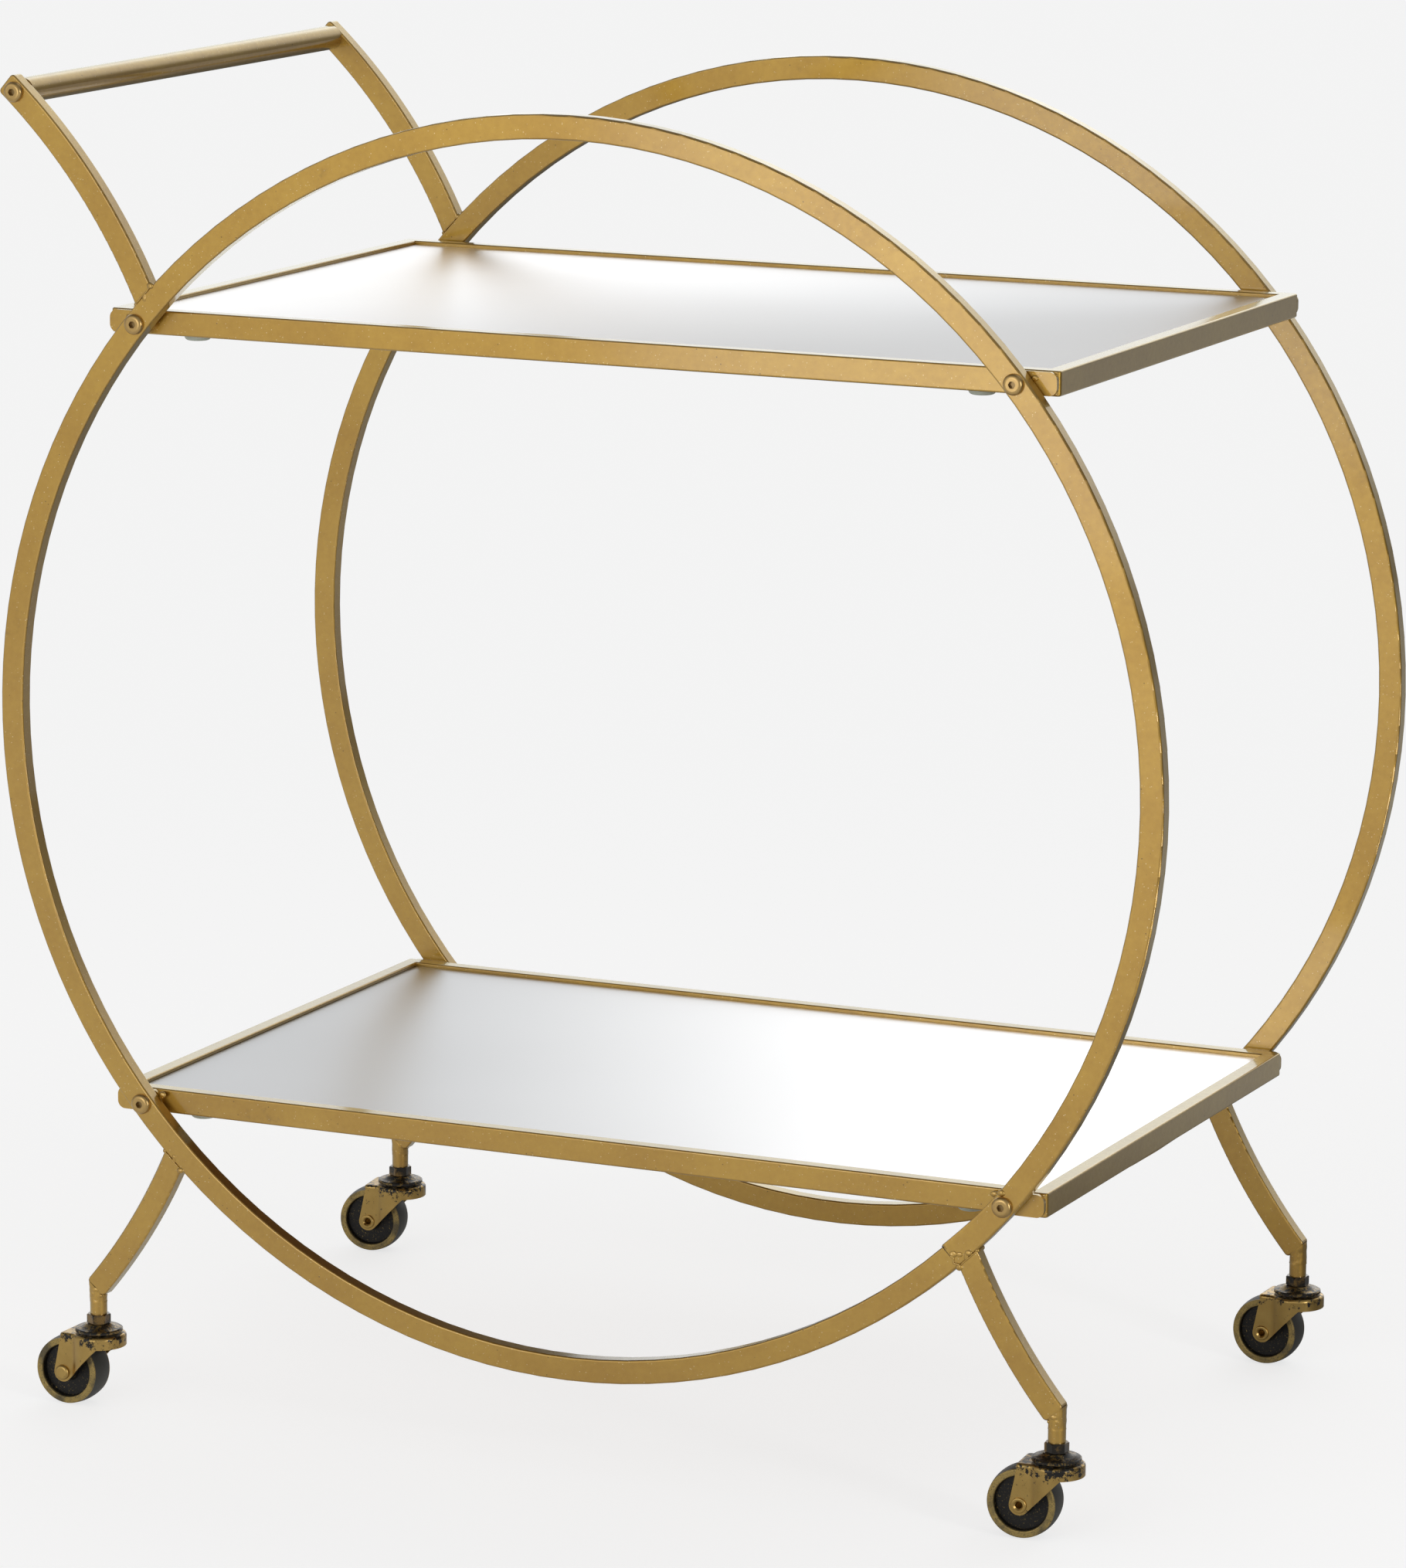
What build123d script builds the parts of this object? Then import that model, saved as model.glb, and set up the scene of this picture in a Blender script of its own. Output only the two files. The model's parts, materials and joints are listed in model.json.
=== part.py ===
from build123d import *
from math import acos, cos, degrees, hypot, radians, sin, sqrt
import os

# Round-sided bar cart on four swivel casters. Millimetres, +Z up, +X to the right of the handle,
# +Y to the back. The origin is on the floor, under the middle of the two side rings.

# --- rectangular steel tube, used for the rings, limbs and shelf rails
TUBE_FACE = 15.0          # the wide side of the tube
TUBE_EDGE = 10.0          # the narrow side
TUBE_WALL = 1.2
TUBE_ROUND = 1.2          # rounding of the tube's long edges

# --- side rings
RING_RADIUS = 386.0       # outer
RING_CENTRE_Z = 444.0     # above the floor
CART_DEPTH = 426.0        # over the outer faces of the two rings

# --- shelves
SHELF_LENGTH = 625.0
LUG_THICKNESS = 3.0       # spacer plate between ring and rail
SHELF_TOPS = {"top": 696.0, "lower": 207.5}
MIRROR_RECESS = 2.5
MIRROR_THICKNESS = 4.0
BOARD_THICKNESS = 8.0
SHELF_CORNER_ROUND = 2.5
PANEL_GAP = 0.4           # round the panels, inside the rails
LUG_INNER = 282.0         # a lug runs from here to LUG_OUTER, measured from the middle
LUG_OUTER = 311.7
LUG_ROUND = 5.0
CLAMP_DISC = 16.5         # discs under the rails that hold the board in
CLAMP_DISC_HEIGHT = 3.2
CLAMP_FROM_END = 53.5
CLAMP_FROM_FACE = 12.5

# --- limbs: handle arms and legs are arcs of tube welded on the outside of the rings
LIMB_RADIUS = 378.5       # centre line, the same bend as the ring's own
ARM_POINT = (-313.3, 315.5)   # a point of the arm's centre line, from the ring's centre
ARM_LEAN = 34.3           # its lean from vertical there
ARM_END_LEAN = 49.0
ARM_END_ROUND = 2.5       # corners of the cut end
LEG_POINT = (291.5, -322.5)
LEG_LEAN = 32.0
LEG_END_ROUND = 3.0
LIMB_START_LEAN = 12.0    # each arc starts inside its ring, and is coped to the ring's outside
STEM_X = 324.3            # the legs are cut off where their centre lines reach the stems

# --- handle bar
HANDLE_BAR = 15.9
HANDLE_BOLT_FROM_END = 8.5
INSERT_LENGTH = 16.0

# --- bolts
BOLT = 6.0
BOLT_HOLE = 6.4
BOLT_HEAD = 12.8
BOLT_HEAD_HEIGHT = 3.4
BOLT_HEAD_EDGE = 0.8      # straight part of the head's side, under its dome
HEX_KEY = 4.0
HEX_KEY_DEPTH = 2.2
RIVET_NUT = 9.0
RIVET_NUT_LENGTH = 7.0

# --- casters
WHEEL_RADIUS = 22.0
WHEEL_WIDTH = 19.0
WHEEL_FACE_RADIUS = 21.0  # the tread is slightly barrelled between its two faces
RIM_RING = 3.8            # flat ring left round the recess of each face
RECESS = 4.0
HUB = 13.0
HUB_LENGTH = 22.0
AXLE = 6.0
AXLE_HEAD = 9.6
TRAIL = 19.0              # from the stem to the axle
FORK_SHEET = 1.6
FORK_HALF_WIDTH = 13.0
FORK_HEAD_RADIUS = 17.3
FORK_TOP_Z = 47.5
FORK_SKIRT_Z = 39.8
FORK_REACH = 27.0         # how far the cheeks' walls run back from the stem
FORK_TONGUE = 22.0        # how far the flat top runs back
FORK_NECK_ROUND = 6.0
FORK_CAP_HEIGHT = 2.8
FORK_SHOULDER = 2.0
CHEEK_BACK = 20.0         # back edge of a cheek at its top
CHEEK_FRONT = 6.8         # where a cheek's front edge leaves the skirt
CHEEK_TIP = 6.2           # radius round the axle
STEM_PIN = 7.0
RUNNING_GAP = 0.05        # radial, in the swivel and on the axle
COVER_RADIUS = 15.0
COVER_TOP_Z = 53.5
COVER_RIM_Z = 48.9
COVER_SHEET = 1.2
COVER_FLAT = 8.0          # radius of the cover's flat middle
NUT_ACROSS = 13.0
NUT_TOP_Z = 59.8
NUT_CHAMFER = 0.9
STEM_ABOVE_NUT = 11.0     # how far the pin goes up into the leg's socket
SPIGOT = 10.8
SPIGOT_BORE_DEPTH = 22.0
BALL = 2.6
BALL_COUNT = 12
BALL_CIRCLE = 10.0

# name: side in X, side in Y, how far the caster has swung from straight back, domed end of its axle
CASTERS = {
    "front_left": (-1, -1, -1.5, -1),
    "front_right": (1, -1, 4.5, 1),
    "back_left": (-1, 1, 7.0, 1),
    "back_right": (1, 1, -1.0, 1),
}

ring_face_y = CART_DEPTH / 2
ring_middle_y = ring_face_y - TUBE_EDGE / 2
shelf_half_length = SHELF_LENGTH / 2
shelf_half_depth = ring_face_y - TUBE_EDGE - LUG_THICKNESS
ring_middle_radius = RING_RADIUS - TUBE_FACE / 2


def save(solids, name):
    """Write one node: a solid, or a group of separate solids."""
    solids = solids if isinstance(solids, list) else [solids]
    shape = solids[0] if len(solids) == 1 else Compound(children=solids)
    export_step(shape, f"parts/{name}.step")


def stood_up(flat, y, z=RING_CENTRE_Z):
    """A piece drawn flat, with its height along local Y, stood up so that local +Z points to the front."""
    return Pos(0, y, z) * Rot(90, 0, 0) * flat


def bolt_places(shelf_top):
    """X and Z of the two bolts that hold this shelf to a ring, on the ring's centre line."""
    z = shelf_top - TUBE_FACE / 2
    x = sqrt(ring_middle_radius**2 - (z - RING_CENTRE_Z) ** 2)
    return [(-x, z), (x, z)]


def front_facing(solid):
    """The front copy of a piece drawn with its outside at +Z, and its mirror image at the back."""
    front = stood_up(solid, -ring_middle_y)
    return front, mirror(front, about=Plane.XZ)


def side_ring():
    def band(outer, inner, height):
        return Cylinder(outer, height) - Cylinder(inner, height)

    ring = band(RING_RADIUS, RING_RADIUS - TUBE_FACE, TUBE_EDGE)
    ring = fillet(ring.edges().filter_by(GeomType.CIRCLE), TUBE_ROUND)
    ring -= band(RING_RADIUS - TUBE_WALL, RING_RADIUS - TUBE_FACE + TUBE_WALL, TUBE_EDGE - 2 * TUBE_WALL)
    for shelf_top in SHELF_TOPS.values():
        for x, z in bolt_places(shelf_top):
            ring -= Pos(x, z - RING_CENTRE_Z, 0) * Cylinder(BOLT_HOLE / 2, 2 * TUBE_EDGE)
    return ring


def limb(centre, start, end, end_round):
    """An arc of tube round centre, between two angles, coped to the ring that it is welded to."""

    def sector(inset, past):
        low, high = LIMB_RADIUS - TUBE_FACE / 2 + inset, LIMB_RADIUS + TUBE_FACE / 2 - inset
        stop = end - degrees(past / LIMB_RADIUS)

        def at(radius, angle):
            return (radius * cos(radians(angle)), radius * sin(radians(angle)))

        middle = (start + stop) / 2
        outline = [
            ThreePointArc(at(high, start), at(high, middle), at(high, stop)),
            Line(at(high, stop), at(low, stop)),
            ThreePointArc(at(low, stop), at(low, middle), at(low, start)),
            Line(at(low, start), at(high, start)),
        ]
        face = make_face(outline)
        return face, at(high, stop), at(low, stop)

    face, *ends = sector(0, 0)
    corners = [v for v in face.vertices() if min(hypot(v.X - x, v.Y - y) for x, y in ends) < 0.01]
    face = fillet(corners, end_round)
    tube = Pos(0, 0, -TUBE_EDGE / 2) * extrude(face, TUBE_EDGE)
    rims = tube.faces().sort_by(Axis.Z)
    tube = fillet(rims[0].edges() + rims[-1].edges(), TUBE_ROUND)
    hollow_height = TUBE_EDGE - 2 * TUBE_WALL
    tube -= Pos(0, 0, -hollow_height / 2) * extrude(sector(TUBE_WALL, TUBE_WALL)[0], hollow_height)
    return Pos(*centre, 0) * tube - Cylinder(RING_RADIUS, 4 * TUBE_EDGE)


# --- the limbs' arcs, seen from the ring's centre
arm_centre = (
    ARM_POINT[0] - LIMB_RADIUS * cos(radians(ARM_LEAN)),
    ARM_POINT[1] - LIMB_RADIUS * sin(radians(ARM_LEAN)),
)
leg_centre = (
    LEG_POINT[0] + LIMB_RADIUS * cos(radians(LEG_LEAN)),
    LEG_POINT[1] + LIMB_RADIUS * sin(radians(LEG_LEAN)),
)
leg_end_lean = degrees(acos((leg_centre[0] - STEM_X) / LIMB_RADIUS))
leg_end_z = leg_centre[1] - LIMB_RADIUS * sin(radians(leg_end_lean))
bolt_lean = ARM_END_LEAN - degrees(HANDLE_BOLT_FROM_END / LIMB_RADIUS)
handle_x = arm_centre[0] + LIMB_RADIUS * cos(radians(bolt_lean))
handle_z = arm_centre[1] + LIMB_RADIUS * sin(radians(bolt_lean))


def handle_arm():
    arm = limb(arm_centre, LIMB_START_LEAN, ARM_END_LEAN, ARM_END_ROUND)
    return arm - Pos(handle_x, handle_z, 0) * Cylinder(BOLT_HOLE / 2, 2 * TUBE_EDGE)


def leg():
    """The right-hand leg: it runs down the far side of its arc, so its angles start from the left."""
    return limb(leg_centre, 180 + LIMB_START_LEAN, 180 + leg_end_lean, LEG_END_ROUND)


def leg_spigot():
    """Round socket for the caster's stem, cut to the slope of the leg's end."""
    low = NUT_TOP_Z - RING_CENTRE_Z
    upwards = (Align.CENTER, Align.CENTER, Align.MIN)
    tube = Cylinder(SPIGOT / 2, 40, align=upwards)
    tube -= Cylinder(STEM_PIN / 2 + 0.5, SPIGOT_BORE_DEPTH, align=upwards)
    tube = Pos(STEM_X, low, 0) * Rot(-90, 0, 0) * tube
    above = Box(60, 60, 60, align=(Align.CENTER, Align.MIN, Align.CENTER))
    return tube - Pos(STEM_X, leg_end_z, 0) * Rot(0, 0, leg_end_lean) * above


def bolt(reach):
    """Button-head bolt, its head's flat underside at Z = 0 and its shank going down."""
    head = Cylinder(BOLT_HEAD / 2, BOLT_HEAD_HEIGHT, align=(Align.CENTER, Align.CENTER, Align.MIN))
    rim = head.edges().filter_by(GeomType.CIRCLE).sort_by(Axis.Z)[-1]
    head = fillet(rim, BOLT_HEAD_HEIGHT - BOLT_HEAD_EDGE)
    socket = extrude(RegularPolygon(HEX_KEY / 2, 6, major_radius=False), HEX_KEY_DEPTH)
    head -= Pos(0, 0, BOLT_HEAD_HEIGHT - HEX_KEY_DEPTH) * socket
    return head + Cylinder(BOLT / 2, reach, align=(Align.CENTER, Align.CENTER, Align.MAX))


def sleeve(outer, inner, length, top):
    """A tube along Z whose top is at this height."""
    align = (Align.CENTER, Align.CENTER, Align.MAX)
    return Pos(0, 0, top) * (Cylinder(outer, length, align=align) - Cylinder(inner, length, align=align))


def rails(shelf_top):
    """The shelf's frame of tube, mitred at its corners: front, back, left and right."""
    bottom = shelf_top - TUBE_FACE

    def frame(inset_out, inset_in, z, height):
        outer = RectangleRounded(
            SHELF_LENGTH - 2 * inset_out, 2 * (shelf_half_depth - inset_out), SHELF_CORNER_ROUND
        )
        inner = Rectangle(SHELF_LENGTH - 2 * inset_in, 2 * (shelf_half_depth - inset_in))
        return Pos(0, 0, z) * extrude(outer - inner, height)

    whole = frame(0, TUBE_EDGE, bottom, TUBE_FACE)
    flat_rims = whole.faces().filter_by(Axis.Z)
    whole = fillet([e for f in flat_rims for e in f.edges()], TUBE_ROUND)
    whole -= frame(TUBE_WALL, TUBE_EDGE - TUBE_WALL, bottom + TUBE_WALL, TUBE_FACE - 2 * TUBE_WALL)
    for x, z in bolt_places(shelf_top):
        hole = Cylinder(BOLT_HOLE / 2, 2 * TUBE_WALL + 1, rotation=(90, 0, 0))
        whole -= Pos(x, -shelf_half_depth, z) * hole
        whole -= Pos(x, shelf_half_depth, z) * hole

    far = 2 * SHELF_LENGTH
    nose = shelf_half_length - shelf_half_depth
    wedge_right = Polyline((nose, 0), (nose + far, far), (nose + far, -far), close=True)
    wedge_right = Pos(0, 0, bottom - 1) * extrude(make_face(wedge_right), TUBE_FACE + 2)
    wedge_left = mirror(wedge_right, about=Plane.YZ)
    slab = Pos(0, 0, bottom - 1) * Box(far, far, TUBE_FACE + 2, align=(Align.CENTER, Align.MIN, Align.MIN))
    back = (whole & slab) - wedge_right - wedge_left
    front = mirror(back, about=Plane.XZ)
    right = whole & wedge_right
    left = mirror(right, about=Plane.YZ)
    return {"front": front, "back": back, "left": left, "right": right}


def panel(top, thickness):
    length = SHELF_LENGTH - 2 * (TUBE_EDGE + PANEL_GAP)
    depth = 2 * (shelf_half_depth - TUBE_EDGE - PANEL_GAP)
    return Pos(0, 0, top) * Box(length, depth, thickness, align=(Align.CENTER, Align.CENTER, Align.MAX))


def lugs(shelf_top):
    """The four spacer plates, each with a bolt hole, lying against the rails' outer faces."""
    length = LUG_OUTER - LUG_INNER
    plate = extrude(RectangleRounded(length, TUBE_FACE - 1, LUG_ROUND), LUG_THICKNESS)
    middle = (LUG_OUTER + LUG_INNER) / 2
    made = []
    for x, z in bolt_places(shelf_top):
        side = 1 if x > 0 else -1
        drilled = Pos(side * middle, 0, 0) * plate - Pos(x, 0, 0) * Cylinder(BOLT_HOLE / 2, 20)
        front = stood_up(drilled, -shelf_half_depth, z)
        made += [front, mirror(front, about=Plane.XZ)]
    return made


def clamp_discs(shelf_top):
    """Low domed discs under the rails, near the corners, that clamp the board from below."""
    disc = Cylinder(CLAMP_DISC / 2, CLAMP_DISC_HEIGHT, align=(Align.CENTER, Align.CENTER, Align.MAX))
    disc = fillet(disc.edges().sort_by(Axis.Z)[0], CLAMP_DISC_HEIGHT - 0.6)
    x = shelf_half_length - CLAMP_FROM_END
    y = shelf_half_depth - CLAMP_FROM_FACE
    return [Pos(i * x, j * y, shelf_top - TUBE_FACE) * disc for i in (-1, 1) for j in (-1, 1)]


def shelf_bolts(shelf_top):
    reach = TUBE_EDGE + LUG_THICKNESS + TUBE_WALL + RIVET_NUT_LENGTH
    made = []
    for x, z in bolt_places(shelf_top):
        front = stood_up(bolt(reach), -ring_face_y, z)
        made += [Pos(x, 0, 0) * front, Pos(x, 0, 0) * mirror(front, about=Plane.XZ)]
    return made


def rivet_nuts(shelf_top):
    """Threaded inserts inside the rails, behind their outer walls."""
    nut = sleeve(RIVET_NUT / 2, BOLT / 2, RIVET_NUT_LENGTH, 0)
    made = []
    for x, z in bolt_places(shelf_top):
        front = stood_up(nut, -shelf_half_depth + TUBE_WALL, z)
        made += [Pos(x, 0, 0) * front, Pos(x, 0, 0) * mirror(front, about=Plane.XZ)]
    return made


def handle_parts():
    """The bar, its two threaded end inserts and the two bolts through the arms."""
    half = ring_face_y - TUBE_EDGE
    place = Pos(handle_x, 0, RING_CENTRE_Z + handle_z)
    inner = HANDLE_BAR / 2 - TUBE_WALL
    bar = place * Rot(90, 0, 0) * (Cylinder(HANDLE_BAR / 2, 2 * half) - Cylinder(inner, 2 * half))
    insert = place * stood_up(sleeve(inner, BOLT / 2, INSERT_LENGTH, 0), -half, 0)
    fixing = place * stood_up(bolt(TUBE_EDGE + INSERT_LENGTH - 2), -ring_face_y, 0)
    about = Plane.XZ
    return bar, [insert, mirror(insert, about=about)], [fixing, mirror(fixing, about=about)]


# --- caster pieces, drawn round the stem with the wheel trailing towards -X


def turned(points):
    """A solid of revolution about Z from the half outline of (radius, height) points."""
    return revolve(make_face(Polyline(*[(r, 0, z) for r, z in points], close=True)), Axis.Z)


def stem():
    """Pin with a hexagon collar: up into the leg's socket, down through the cover and the fork."""
    pin = STEM_PIN / 2
    across = NUT_ACROSS / 2
    height = NUT_TOP_Z - COVER_TOP_Z
    corner = across + 1.4
    hexagon = extrude(RegularPolygon(across, 6, major_radius=False), height)
    top_edge = height - NUT_CHAMFER
    chamfered = turned([
        (0, 0), (across, 0), (corner, NUT_CHAMFER), (corner, top_edge), (across, height), (0, height),
    ])
    collar = Pos(0, 0, COVER_TOP_Z) * (hexagon & chamfered)
    head = 5.2
    head_top = FORK_TOP_Z - FORK_SHEET - 0.3
    pin_top = NUT_TOP_Z + STEM_ABOVE_NUT
    shaft = turned([
        (0, head_top - 2.4), (head - 1.8, head_top - 2.4), (head, head_top - 1.2), (head, head_top),
        (pin, head_top), (pin, COVER_TOP_Z), (pin + 0.4, NUT_TOP_Z), (pin + 0.4, pin_top - 1),
        (pin - 0.4, pin_top), (0, pin_top),
    ])
    return collar + shaft


def cover():
    """Dished washer under the collar: it hangs over the ring of balls."""
    top, under, rim = COVER_TOP_Z, COVER_TOP_Z - COVER_SHEET, COVER_RIM_Z
    bore = STEM_PIN / 2 + 0.1
    edge = COVER_RADIUS - 1.4
    dish = 1.9
    outside = ThreePointArc((COVER_FLAT, 0, top), (11.2, 0, top - dish), (COVER_RADIUS - 0.8, 0, rim + 2.0))
    inside = ThreePointArc((edge, 0, rim + 1.0), (10.8, 0, under - dish), (COVER_FLAT, 0, under))
    around = Polyline(
        outside @ 1, (COVER_RADIUS, 0, rim + 1.4), (COVER_RADIUS, 0, rim), (edge, 0, rim), inside @ 0
    )
    middle = Polyline(inside @ 1, (bore, 0, under), (bore, 0, top), outside @ 0)
    return revolve(make_face([outside, *around.edges(), inside, *middle.edges()]), Axis.Z)


def balls():
    ball = Pos(BALL_CIRCLE, 0, FORK_TOP_Z + BALL / 2) * Sphere(BALL / 2)
    return [Rot(0, 0, 360 * i / BALL_COUNT) * ball for i in range(BALL_COUNT)]


def fork():
    """Pressed fork: a round head with a skirt, narrowing into two cheeks that carry the axle."""
    def plan(inset, back, corner=0.0):
        half = FORK_HALF_WIDTH - inset
        outline = Circle(FORK_HEAD_RADIUS - inset)
        outline += Pos(-back, 0) * Rectangle(back, 2 * half, align=(Align.MIN, Align.CENTER))
        neck = [v for v in outline.vertices() if -back + 1 < v.X < 0]
        outline = fillet(neck, FORK_NECK_ROUND)
        ends = [v for v in outline.vertices() if v.X < -back + 0.01]
        return fillet(ends, corner) if corner else outline

    low = WHEEL_RADIUS - CHEEK_TIP - 1
    high = FORK_TOP_Z - FORK_CAP_HEIGHT + 0.5
    walls = Pos(0, 0, low) * extrude(plan(0, FORK_REACH) - plan(FORK_SHEET, FORK_REACH + 1), high - low)

    # the cheeks' side view: a strap that tapers down to a round tip, with the skirt ahead of it
    def touching(x, z, side):
        """Where a line from this point touches the tip's circle."""
        away_x, away_z = x + TRAIL, z - WHEEL_RADIUS
        distance = hypot(away_x, away_z)
        turn = side * acos(CHEEK_TIP / distance)
        unit_x, unit_z = away_x / distance, away_z / distance
        return (
            -TRAIL + CHEEK_TIP * (unit_x * cos(turn) - unit_z * sin(turn)),
            WHEEL_RADIUS + CHEEK_TIP * (unit_x * sin(turn) + unit_z * cos(turn)),
        )

    above = FORK_TOP_Z + 5
    strap = make_face(Polyline(
        (-CHEEK_BACK, above), (FORK_HEAD_RADIUS + 3, above), (FORK_HEAD_RADIUS + 3, FORK_SKIRT_Z),
        (CHEEK_FRONT, FORK_SKIRT_Z), touching(CHEEK_FRONT, FORK_SKIRT_Z, -1), (-TRAIL, WHEEL_RADIUS),
        touching(-CHEEK_BACK, FORK_TOP_Z, 1), (-CHEEK_BACK, FORK_TOP_Z), close=True,
    ))
    side = extrude(strap, 30, both=True)
    side += Pos(-TRAIL, WHEEL_RADIUS, 0) * Cylinder(CHEEK_TIP, 60)
    walls = walls & (Rot(90, 0, 0) * side)

    # the head: a shallow cap with a rounded shoulder
    cap_bottom = Pos(0, 0, FORK_TOP_Z - FORK_CAP_HEIGHT)
    cap = cap_bottom * extrude(plan(0, FORK_TONGUE, 3.0), FORK_CAP_HEIGHT)
    cap = fillet(cap.faces().sort_by(Axis.Z)[-1].edges(), FORK_SHOULDER)
    cap -= cap_bottom * extrude(plan(FORK_SHEET, FORK_TONGUE - FORK_SHEET, 1.5), FORK_CAP_HEIGHT - FORK_SHEET)
    whole = cap + walls
    whole -= Cylinder(STEM_PIN / 2 + RUNNING_GAP, 200)
    axle_hole = Cylinder(AXLE / 2 + 0.05, 60, rotation=(90, 0, 0))
    return whole - Pos(-TRAIL, 0, WHEEL_RADIUS) * axle_hole


def axle(domed_end):
    """Hollow rivet across the fork: one end domed, the other rolled over like an eyelet."""
    half = FORK_HALF_WIDTH
    head = AXLE_HEAD / 2
    bore, bore_depth = 2.1, 12.0
    dome_height, rolled_height = 2.4, 1.2
    dome = Pos(0, 0, -half - dome_height / 2) * Cylinder(head, dome_height)
    dome = fillet(dome.edges().filter_by(GeomType.CIRCLE).sort_by(Axis.Z)[0], dome_height - 0.5)
    rolled = Pos(0, 0, half + rolled_height / 2) * Cylinder(head, rolled_height)
    rolled = fillet(rolled.edges().filter_by(GeomType.CIRCLE).sort_by(Axis.Z)[-1], 0.8)
    solid = Cylinder(AXLE / 2, 2 * half) + dome + rolled
    top = half + rolled_height
    solid -= Pos(0, 0, top - bore_depth / 2) * Cylinder(bore, bore_depth)
    solid -= Pos(0, 0, top - 0.5) * Cone(bore - 0.1, bore + 0.9, 1.0)
    return Pos(-TRAIL, 0, WHEEL_RADIUS) * Rot(90 * domed_end, 0, 0) * solid


def wheel():
    half = WHEEL_WIDTH / 2
    face, bore = WHEEL_FACE_RADIUS, AXLE / 2 + RUNNING_GAP
    lip = face - RIM_RING
    side = [
        (lip, half), (lip - 0.8, half - RECESS), (HUB / 2 + 0.8, half - RECESS), (HUB / 2, HUB_LENGTH / 2),
        (bore, HUB_LENGTH / 2),
    ]
    tread = ThreePointArc((face, 0, -half), (WHEEL_RADIUS, 0, 0), (face, 0, half))
    top = Polyline((face, 0, half), *[(r, 0, z) for r, z in side])
    bottom = Polyline((face, 0, -half), *[(r, 0, -z) for r, z in side])
    outline = [tread, *top.edges(), *bottom.edges(), Line(top @ 1, bottom @ 1)]
    solid = revolve(make_face(outline), Axis.Z)
    rims = [
        e for e in solid.edges().filter_by(GeomType.CIRCLE)
        if abs(e.radius - face) < 0.01 or (abs(e.radius - lip) < 0.01)
    ]
    solid = fillet(rims, 0.7)
    return Pos(-TRAIL, 0, WHEEL_RADIUS) * Rot(90, 0, 0) * solid


os.makedirs("parts", exist_ok=True)

front_ring, back_ring = front_facing(side_ring())
front_arm, back_arm = front_facing(handle_arm())
front_leg, back_leg = front_facing(leg())
front_spigot, back_spigot = front_facing(leg_spigot())
save(front_ring, "side_ring_front")
save(back_ring, "side_ring_back")
save(front_arm, "handle_arm_front")
save(back_arm, "handle_arm_back")
for place, one_leg, spigot in (("front", front_leg, front_spigot), ("back", back_leg, back_spigot)):
    save(one_leg, f"leg_{place}_right")
    save(mirror(one_leg, about=Plane.YZ), f"leg_{place}_left")
    save(spigot, f"leg_socket_{place}_right")
    save(mirror(spigot, about=Plane.YZ), f"leg_socket_{place}_left")

handle_bar, handle_inserts, handle_bolts = handle_parts()
save(handle_bar, "handle_bar")
save(handle_inserts, "handle_bar_inserts")
save(handle_bolts, "handle_bolts")

for shelf, shelf_top in SHELF_TOPS.items():
    for place, rail in rails(shelf_top).items():
        save(rail, f"{shelf}_shelf_rail_{place}")
    mirror_top = shelf_top - MIRROR_RECESS
    save(panel(mirror_top, MIRROR_THICKNESS), f"{shelf}_shelf_mirror")
    save(panel(mirror_top - MIRROR_THICKNESS, BOARD_THICKNESS), f"{shelf}_shelf_board")
    save(lugs(shelf_top), f"{shelf}_shelf_lugs")
    save(clamp_discs(shelf_top), f"{shelf}_shelf_clamp_discs")
    save(shelf_bolts(shelf_top), f"{shelf}_shelf_bolts")
    save(rivet_nuts(shelf_top), f"{shelf}_shelf_rivet_nuts")

for corner, (side_x, side_y, swing, domed_end) in CASTERS.items():
    fixed = Pos(side_x * STEM_X, side_y * ring_middle_y, 0)
    swung = fixed * Rot(0, 0, swing)
    save(fixed * Rot(0, 0, 30) * stem(), f"caster_stem_{corner}")
    save(fixed * cover(), f"caster_cover_{corner}")
    save([swung * ball for ball in balls()], f"caster_balls_{corner}")
    save(swung * fork(), f"caster_fork_{corner}")
    save(swung * axle(domed_end), f"caster_axle_{corner}")
    save(swung * wheel(), f"caster_wheel_{corner}")
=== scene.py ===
import bpy
import bmesh
import json
import math
from mathutils import Matrix, Vector, noise


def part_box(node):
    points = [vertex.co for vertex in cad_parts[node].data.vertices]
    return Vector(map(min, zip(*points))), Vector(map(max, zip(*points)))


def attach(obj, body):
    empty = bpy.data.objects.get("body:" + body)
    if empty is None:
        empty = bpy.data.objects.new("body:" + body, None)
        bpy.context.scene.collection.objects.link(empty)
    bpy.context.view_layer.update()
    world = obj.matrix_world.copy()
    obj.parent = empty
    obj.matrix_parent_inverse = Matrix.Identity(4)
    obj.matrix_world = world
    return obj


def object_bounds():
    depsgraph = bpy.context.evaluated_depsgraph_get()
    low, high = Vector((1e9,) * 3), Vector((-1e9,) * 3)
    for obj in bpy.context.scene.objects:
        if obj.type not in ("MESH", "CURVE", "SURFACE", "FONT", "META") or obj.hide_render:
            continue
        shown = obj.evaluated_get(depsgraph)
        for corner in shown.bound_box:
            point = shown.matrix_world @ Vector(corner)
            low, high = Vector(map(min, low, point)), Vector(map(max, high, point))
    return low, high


# A bar cart: two ringed sides in gold painted tube, two mirrored shelves, four antique brass casters.
# Metres, +Z up, +Y to the back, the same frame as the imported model.

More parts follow.
